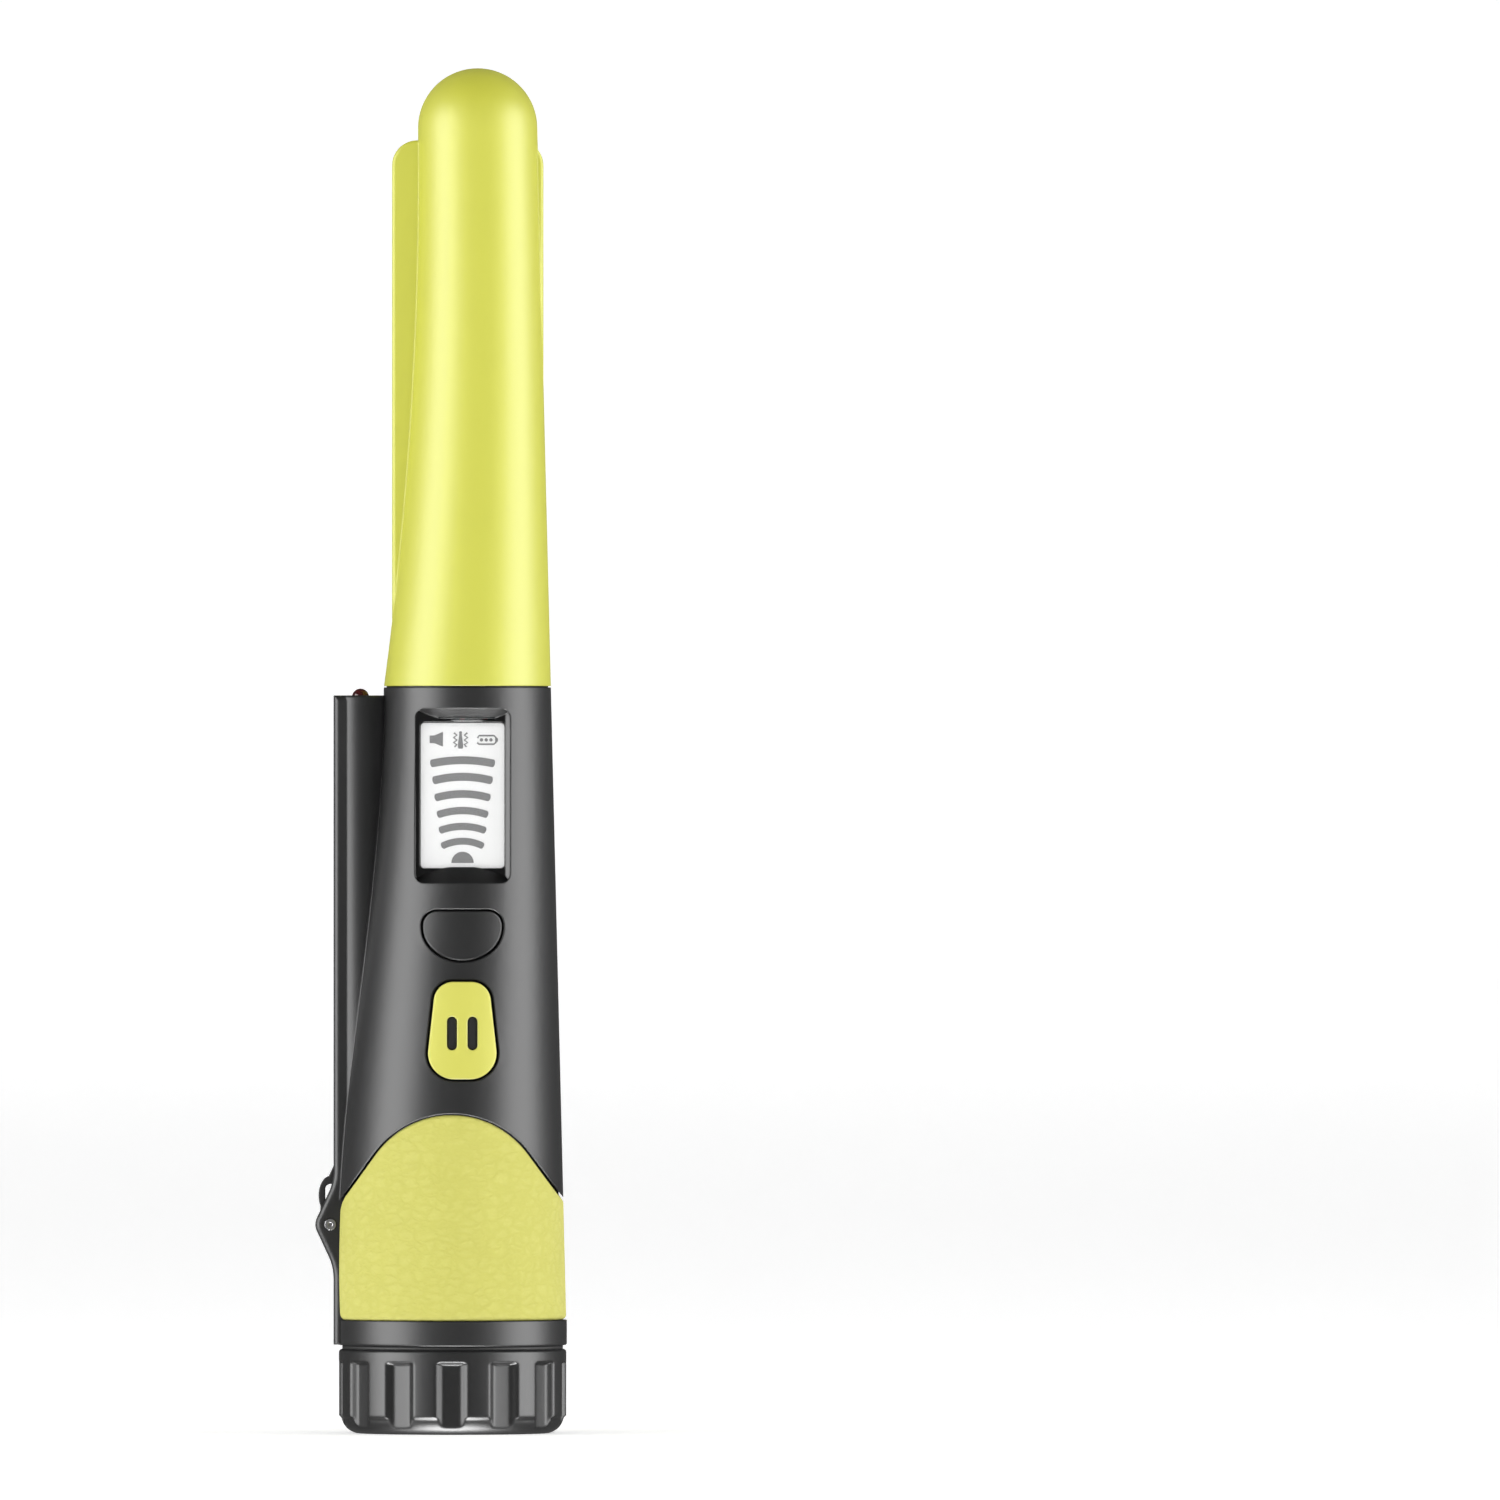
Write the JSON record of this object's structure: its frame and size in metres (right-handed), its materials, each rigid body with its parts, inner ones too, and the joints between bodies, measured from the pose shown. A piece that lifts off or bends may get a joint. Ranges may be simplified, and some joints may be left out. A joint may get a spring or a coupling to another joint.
{
  "type": "metal detecting pinpointer probe",
  "caption": "Handheld pinpointer probe: tapered handle with display and keys, screw cap with finger pockets over the battery, and a slim round-nosed sensing tip with a scraping blade.",
  "frame": {"origin": "centre of the end cap's flat foot", "axes": "+Z along the probe to the nose, -Y out of the display and keys, -X out of the keel"},
  "size_m": [0.0442, 0.0404, 0.24],
  "materials": {
    "tip_yellow": "smooth satin moulding, bright yellow-green",
    "housing_black": "satin black nylon",
    "grip_yellow": "leather-grained soft rubber, dull yellow",
    "key_black": "smooth black silicone",
    "key_yellow": "satin yellow key cap",
    "seal_black": "black seal rubber",
    "lcd_clear": "clear flat window",
    "lcd_grey": "grey reflective display with dark segments",
    "elastomer": "striped contact rubber",
    "board_green": "green circuit board",
    "chip_black": "moulded chip packages",
    "steel": "plain steel",
    "nickel": "nickel plate",
    "copper": "enamelled copper wire",
    "ferrite": "dark sintered ferrite",
    "bobbin_white": "natural nylon",
    "foam_grey": "closed-cell foam",
    "battery_shell": null,
    "lamp_red": "tinted lamp resin",
    "wire_black": "insulated wire",
    "wire_red": "insulated wire"
  },
  "bodies": {
    "housing": {"tip_shell": "tip_yellow", "neck_plug": "housing_black", "neck_oring": "seal_black", "coil_bobbin": "bobbin_white", "ferrite_rod": "ferrite", "transmit_coil": "copper", "receive_coils": "copper", "front_shell": "housing_black", "rear_shell": "housing_black", "shell_gasket": "seal_black", "shell_screws": "steel", "grip_sleeve": "grip_yellow", "battery_tube": "housing_black", "battery_contacts": "nickel", "contact_board": "board_green", "mode_switch": "chip_black", "power_switch": "chip_black", "lcd_window": "lcd_clear", "lcd_panel": "lcd_grey", "lcd_connector": "elastomer", "main_board": "board_green", "board_screws": "steel", "board_chips": "chip_black", "buzzer": "chip_black", "motor_boot": "foam_grey", "vibration_motor": "steel", "lamp": "lamp_red", "lamp_collar": "seal_black", "lanyard_pin": "steel", "battery_wires": "wire_red", "coil_wires": "copper", "lamp_wires": "wire_black"},
    "mode_button": {"mode_key": "key_black", "mode_plunger": "key_black"},
    "power_button": {"power_key_cap": "key_yellow", "power_key_core": "key_black", "power_plunger": "key_black"},
    "motor_rotor": {"motor_weight": "steel"},
    "link": {"lanyard_link": "housing_black"},
    "battery": {"battery_case": "battery_shell", "battery_terminals": "nickel", "pressure_pad": "foam_grey"},
    "cap": {"end_cap": "housing_black", "cap_oring": "seal_black"}
  },
  "joints": [
    {"name": "cap_travel", "type": "slide", "parent": "housing", "child": "battery", "axis": [0, 0, -1], "range_m": [0, 0.012]},
    {"name": "cap_turn", "type": "hinge", "parent": "battery", "child": "cap", "pos_m": [0, 0, 0.0074], "axis": [0, 0, -1], "range_deg": [0, 1441]},
    {"name": "mode_press", "type": "slide", "parent": "housing", "child": "mode_button", "axis": [0, 1, 0], "range_m": [0, 0.0005], "stiffness_N_per_m": 2500, "springref_m": -0.0004},
    {"name": "power_press", "type": "slide", "parent": "housing", "child": "power_button", "axis": [0, 1, 0], "range_m": [0, 0.0005], "stiffness_N_per_m": 2500, "springref_m": -0.0004},
    {"name": "link_swing", "type": "hinge", "parent": "housing", "child": "link", "pos_m": [-0.02146, 0, 0.0367], "axis": [0, -1, 0], "range_deg": [0, 125]},
    {"name": "motor_spin", "type": "hinge", "parent": "housing", "child": "motor_rotor", "pos_m": [0.00185, 0.003, 0.075], "axis": [0, 0, 1], "continuous": true}
  ],
  "couplings": [
    {"joint": "cap_turn", "follows": "cap_travel", "rad_per_m": 2094.4}
  ]
}
